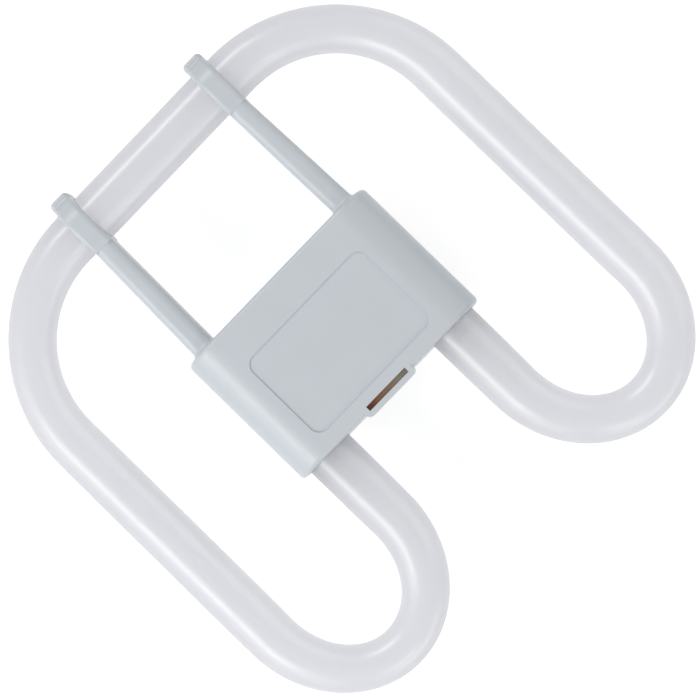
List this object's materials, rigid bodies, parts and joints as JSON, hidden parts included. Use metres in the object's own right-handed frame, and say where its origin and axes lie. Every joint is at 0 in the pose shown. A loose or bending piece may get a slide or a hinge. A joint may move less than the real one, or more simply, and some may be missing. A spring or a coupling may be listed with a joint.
{
  "type": "double-d led lamp",
  "caption": "Double-D tube lamp: opal glass tube bent to a double D, held by a white moulded housing with clip-on arms and a recessed pin cap behind.",
  "frame": {"origin": "on the plane that the cap's rear rim rests on, under the middle of the outline", "axes": "+Z out of the front face, +Y from the open ends of the loops to the far straight, +X to the right seen from the front"},
  "size_m": [0.139, 0.1414, 0.027],
  "materials": {
    "opal_glass": "gloss opal",
    "white_moulding": "satin moulded",
    "pin_brass": "satin",
    "brown_laminate": "pressed paper laminate",
    "silicone": "matt",
    "wire_insulation": "matt",
    "can_sleeve": "gloss sleeve",
    "film_case": "gloss",
    "ferrite": "sintered",
    "copper_winding": "enamelled copper",
    "black_package": "matt moulded",
    "resistor_coat": "lacquer"
  },
  "bodies": {
    "root": {"glass_tube": "opal_glass", "housing_front": "white_moulding", "housing_rear": "white_moulding", "driver_board": "brown_laminate", "end_boot_left": "silicone", "end_boot_right": "silicone", "tube_leads_left": "wire_insulation", "tube_leads_right": "wire_insulation", "input_capacitor": "can_sleeve", "output_capacitor": "can_sleeve", "film_capacitor": "film_case", "inductor_core": "ferrite", "inductor_winding": "copper_winding", "bridge_rectifier": "black_package", "driver_chip": "black_package", "flyback_diode": "black_package", "fuse_resistor": "resistor_coat", "filament_resistor_1": "resistor_coat", "filament_resistor_2": "resistor_coat", "contact_pin_1": "pin_brass", "contact_pin_2": "pin_brass", "contact_pin_3": "pin_brass", "contact_pin_4": "pin_brass"}
  },
  "joints": []
}
